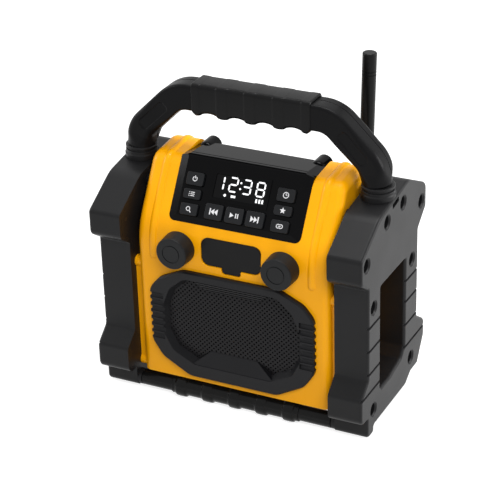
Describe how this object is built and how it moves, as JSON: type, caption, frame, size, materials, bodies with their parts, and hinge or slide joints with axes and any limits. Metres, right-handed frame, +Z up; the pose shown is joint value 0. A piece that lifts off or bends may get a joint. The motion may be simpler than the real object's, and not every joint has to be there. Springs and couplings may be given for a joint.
{
  "type": "bluetooth speaker",
  "caption": "Battery speaker in a black roll cage with a carry handle, a sloping clock panel with push buttons, turning knobs, a hinged port flap and a folding antenna.",
  "frame": {"origin": "on the ground under the middle of the whole object", "axes": "+X to the object's left seen from behind, which is the viewer's right in front of the grille; the grille and the panel look along -Y; +Z up"},
  "size_m": [0.214, 0.121, 0.2581],
  "materials": {
    "yellow_shell": "satin",
    "satin_black": "satin",
    "gloss_black": "gloss",
    "button_black": "satin",
    "soft_rubber": "matte",
    "smoked_window": "gloss",
    "grille_metal": "satin",
    "inner_black": "matte",
    "circuit_board": "satin",
    "plated_metal": "satin",
    "screw_steel": "satin",
    "magnet": "matte",
    "cell_wrap": "gloss"
  },
  "bodies": {
    "cabinet": {"front_housing": "yellow_shell", "rear_housing": "yellow_shell", "side_rails": "yellow_shell", "high_spacers": "yellow_shell", "control_bezel": "gloss_black", "display_window": "smoked_window", "display_module": "inner_black", "panel_board": "circuit_board", "port_tray": "satin_black", "port_walls": "satin_black", "usb_socket": "plated_metal", "card_socket": "plated_metal", "charge_socket": "plated_metal", "audio_jack": "inner_black", "port_board": "circuit_board", "speaker_frame": "satin_black", "speaker_grille": "grille_metal", "driver_basket": "grille_metal", "driver_cone": "inner_black", "driver_magnet": "magnet", "main_board": "circuit_board", "battery_cells": "cell_wrap", "cell_contacts": "inner_black", "battery_door": "satin_black", "battery_door_screws": "screw_steel", "housing_screws": "screw_steel", "handle_grip": "soft_rubber", "foot_bar": "satin_black", "foot_bar_sleeve": "soft_rubber", "antenna_base": "satin_black", "antenna_pin": "screw_steel", "handle_front": "satin_black", "handle_rear": "satin_black", "left_side_frame": "satin_black", "left_frame_cover": "satin_black", "left_frame_screws": "screw_steel", "left_rear_pad": "soft_rubber", "left_handle_collar": "satin_black", "right_side_frame": "satin_black", "right_frame_cover": "satin_black", "right_frame_screws": "screw_steel", "right_rear_pad": "soft_rubber", "right_handle_collar": "satin_black", "volume_encoder": "inner_black", "tuning_encoder": "inner_black"},
    "volume_knob": {"volume_knob": "satin_black", "volume_shaft": "screw_steel"},
    "tuning_knob": {"tuning_knob": "satin_black", "tuning_shaft": "screw_steel"},
    "port_flap": {"port_flap": "soft_rubber"},
    "antenna": {"antenna_rod": "soft_rubber"},
    "power_button": {"power_button": "button_black"},
    "mode_button": {"mode_button": "button_black"},
    "scan_button": {"scan_button": "button_black"},
    "time_button": {"time_button": "button_black"},
    "preset_button": {"preset_button": "button_black"},
    "pair_button": {"pair_button": "button_black"},
    "previous_button": {"previous_button": "button_black"},
    "play_button": {"play_button": "button_black"},
    "next_button": {"next_button": "button_black"}
  },
  "joints": [
    {"name": "volume_turn", "type": "hinge", "parent": "cabinet", "child": "volume_knob", "pos_m": [-0.0413, -0.05, 0.126], "axis": [0, 1, 0], "range_deg": [-150, 150]},
    {"name": "tuning_turn", "type": "hinge", "parent": "cabinet", "child": "tuning_knob", "pos_m": [0.0413, -0.05, 0.126], "axis": [0, 1, 0], "continuous": true},
    {"name": "port_flap_swing", "type": "hinge", "parent": "cabinet", "child": "port_flap", "pos_m": [0, -0.0455, 0.1373], "axis": [-1, 0, 0], "range_deg": [0, 100]},
    {"name": "antenna_fold", "type": "hinge", "parent": "cabinet", "child": "antenna", "pos_m": [0.065, 0.0465, 0.166], "axis": [0, 1, 0], "range_deg": [-91.8, 20]},
    {"name": "power_press", "type": "slide", "parent": "cabinet", "child": "power_button", "axis": [0, 0.8469, -0.5317], "range_m": [0, 0.0006], "stiffness_N_per_m": 400, "springref_m": -0.001},
    {"name": "mode_press", "type": "slide", "parent": "cabinet", "child": "mode_button", "axis": [0, 0.8469, -0.5317], "range_m": [0, 0.0006], "stiffness_N_per_m": 400, "springref_m": -0.001},
    {"name": "scan_press", "type": "slide", "parent": "cabinet", "child": "scan_button", "axis": [0, 0.8469, -0.5317], "range_m": [0, 0.0006], "stiffness_N_per_m": 400, "springref_m": -0.001},
    {"name": "time_press", "type": "slide", "parent": "cabinet", "child": "time_button", "axis": [0, 0.8469, -0.5317], "range_m": [0, 0.0006], "stiffness_N_per_m": 400, "springref_m": -0.001},
    {"name": "preset_press", "type": "slide", "parent": "cabinet", "child": "preset_button", "axis": [0, 0.8469, -0.5317], "range_m": [0, 0.0006], "stiffness_N_per_m": 400, "springref_m": -0.001},
    {"name": "pair_press", "type": "slide", "parent": "cabinet", "child": "pair_button", "axis": [0, 0.8469, -0.5317], "range_m": [0, 0.0006], "stiffness_N_per_m": 400, "springref_m": -0.001},
    {"name": "previous_press", "type": "slide", "parent": "cabinet", "child": "previous_button", "axis": [0, 0.8469, -0.5317], "range_m": [0, 0.0006], "stiffness_N_per_m": 400, "springref_m": -0.001},
    {"name": "play_press", "type": "slide", "parent": "cabinet", "child": "play_button", "axis": [0, 0.8469, -0.5317], "range_m": [0, 0.0006], "stiffness_N_per_m": 400, "springref_m": -0.001},
    {"name": "next_press", "type": "slide", "parent": "cabinet", "child": "next_button", "axis": [0, 0.8469, -0.5317], "range_m": [0, 0.0006], "stiffness_N_per_m": 400, "springref_m": -0.001}
  ]
}
